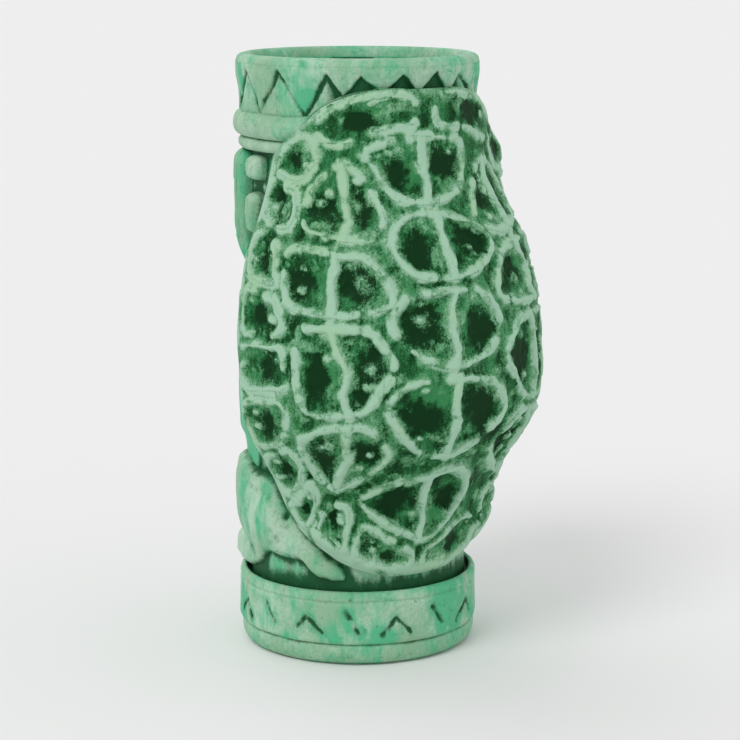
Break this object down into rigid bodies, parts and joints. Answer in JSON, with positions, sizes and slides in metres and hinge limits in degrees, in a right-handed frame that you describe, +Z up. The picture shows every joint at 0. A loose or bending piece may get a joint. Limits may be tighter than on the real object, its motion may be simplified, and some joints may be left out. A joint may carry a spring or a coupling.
{
  "type": "tiki mug",
  "caption": "Cylindrical ceramic tiki mug: carved face and squat limbs in front, turtle shell of raised plates on the back, notched rim band and collared foot.",
  "frame": {"origin": "centre of the foot ring's resting plane, on the cup's axis", "axes": "+Z up along the cup's axis, -Y towards the carved face, +Y towards the shell, +X to the left of someone looking at the shell"},
  "size_m": [0.1066, 0.1113, 0.19],
  "materials": {
    "body_glaze": "matte pale grey-green glaze, dark green pooled in the cuts, mint streaks",
    "mint_wash": "matte pale green glaze with a heavy mint wash",
    "shell_ground": "matte very dark green glaze in the gaps between plates",
    "shell_plate": "matte, pale dry-brushed ridges over mottled dark green",
    "bare_bisque": "matte pale glaze, least shaded"
  },
  "bodies": {
    "root": {"cup_wall": "body_glaze", "rim_band": "body_glaze", "rim_bead": "mint_wash", "rim_thin_bead": "body_glaze", "base_collar": "body_glaze", "base_foot": "body_glaze", "carapace_core": "shell_ground", "vertebral_1": "shell_plate", "vertebral_2": "shell_plate", "vertebral_3": "shell_plate", "vertebral_4": "shell_plate", "vertebral_5": "shell_plate", "costal_left_1": "shell_plate", "costal_left_2": "shell_plate", "costal_left_3": "shell_plate", "costal_left_4": "shell_plate", "costal_right_1": "shell_plate", "costal_right_2": "shell_plate", "costal_right_3": "shell_plate", "costal_right_4": "shell_plate", "marginal_left_1": "shell_plate", "marginal_left_2": "shell_plate", "marginal_left_3": "shell_plate", "marginal_left_4": "shell_plate", "marginal_left_5": "shell_plate", "marginal_left_6": "shell_plate", "marginal_left_7": "shell_plate", "marginal_left_8": "shell_plate", "marginal_left_9": "shell_plate", "marginal_left_10": "shell_plate", "marginal_left_11": "shell_plate", "marginal_right_1": "shell_plate", "marginal_right_2": "shell_plate", "marginal_right_3": "shell_plate", "marginal_right_4": "shell_plate", "marginal_right_5": "shell_plate", "marginal_right_6": "shell_plate", "marginal_right_7": "shell_plate", "marginal_right_8": "shell_plate", "marginal_right_9": "shell_plate", "marginal_right_10": "shell_plate", "marginal_right_11": "shell_plate", "brow": "body_glaze", "eye_left": "bare_bisque", "eye_right": "bare_bisque", "nose": "body_glaze", "lips": "body_glaze", "teeth_upper": "bare_bisque", "teeth_lower": "bare_bisque", "ear_left": "mint_wash", "ear_right": "mint_wash", "hair_left_upper": "body_glaze", "hair_left_lower": "body_glaze", "hair_right_upper": "body_glaze", "hair_right_lower": "body_glaze", "arm_left": "mint_wash", "arm_right": "mint_wash", "leg_left": "mint_wash", "leg_right": "mint_wash"}
  },
  "joints": []
}
